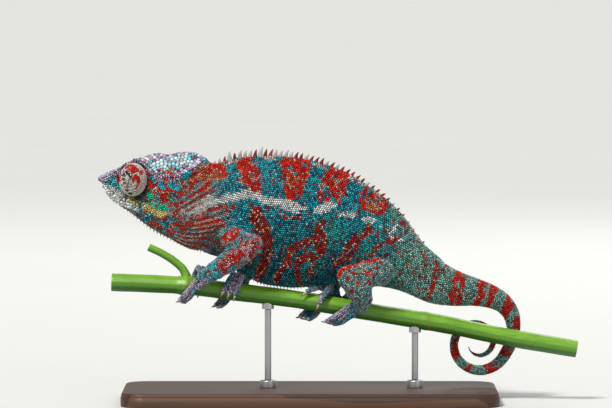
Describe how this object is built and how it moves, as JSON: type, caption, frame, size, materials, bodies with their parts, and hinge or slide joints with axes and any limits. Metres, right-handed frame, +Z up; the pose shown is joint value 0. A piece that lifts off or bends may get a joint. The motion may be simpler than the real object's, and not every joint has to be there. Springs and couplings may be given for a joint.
{
  "type": "panther chameleon",
  "caption": "Life-size still model of a banded panther chameleon with a coiled tail, gripping a cut green stem held by a plain rod stand.",
  "frame": {"origin": "the middle of the underside of the stand's base", "axes": "+X towards the tail, -X towards the head, -Y the animal's left side, +Z up"},
  "size_m": [0.274, 0.088, 0.1458],
  "materials": {
    "skin": "dry, finely beaded scales",
    "eyelid": "dry, finely beaded scales",
    "eye": "wet gloss",
    "claw": "smooth horn, slightly glossy",
    "green_stem": "smooth green bark, satin",
    "base_wood": "dark oiled wood, satin",
    "steel": "brushed"
  },
  "bodies": {
    "root": {"head": "skin", "lower_jaw": "skin", "neck": "skin", "trunk": "skin", "eye_turret_right": "eyelid", "eye_turret_left": "eyelid", "eyeball_right": "eye", "eyeball_left": "eye", "tail_base": "skin", "tail_middle": "skin", "tail_bend": "skin", "tail_coil": "skin", "tail_loop": "skin", "tail_tip": "skin", "upper_arm_left": "skin", "forearm_left": "skin", "hand_left_outer": "skin", "claw_hand_left_outer_1": "claw", "claw_hand_left_outer_2": "claw", "hand_left_inner": "skin", "claw_hand_left_inner_1": "claw", "claw_hand_left_inner_2": "claw", "claw_hand_left_inner_3": "claw", "upper_arm_right": "skin", "forearm_right": "skin", "hand_right_outer": "skin", "claw_hand_right_outer_1": "claw", "claw_hand_right_outer_2": "claw", "hand_right_inner": "skin", "claw_hand_right_inner_1": "claw", "claw_hand_right_inner_2": "claw", "claw_hand_right_inner_3": "claw", "thigh_left": "skin", "shank_left": "skin", "foot_left_outer": "skin", "claw_foot_left_outer_1": "claw", "claw_foot_left_outer_2": "claw", "claw_foot_left_outer_3": "claw", "foot_left_inner": "skin", "claw_foot_left_inner_1": "claw", "claw_foot_left_inner_2": "claw", "thigh_right": "skin", "shank_right": "skin", "foot_right_outer": "skin", "claw_foot_right_outer_1": "claw", "claw_foot_right_outer_2": "claw", "claw_foot_right_outer_3": "claw", "foot_right_inner": "skin", "claw_foot_right_inner_1": "claw", "claw_foot_right_inner_2": "claw", "perch_stem": "green_stem", "perch_shoot": "green_stem", "stand_base": "base_wood", "stand_front_collar": "steel", "stand_front_rod": "steel", "stand_front_saddle": "steel", "stand_rear_collar": "steel", "stand_rear_rod": "steel", "stand_rear_saddle": "steel"}
  },
  "joints": []
}
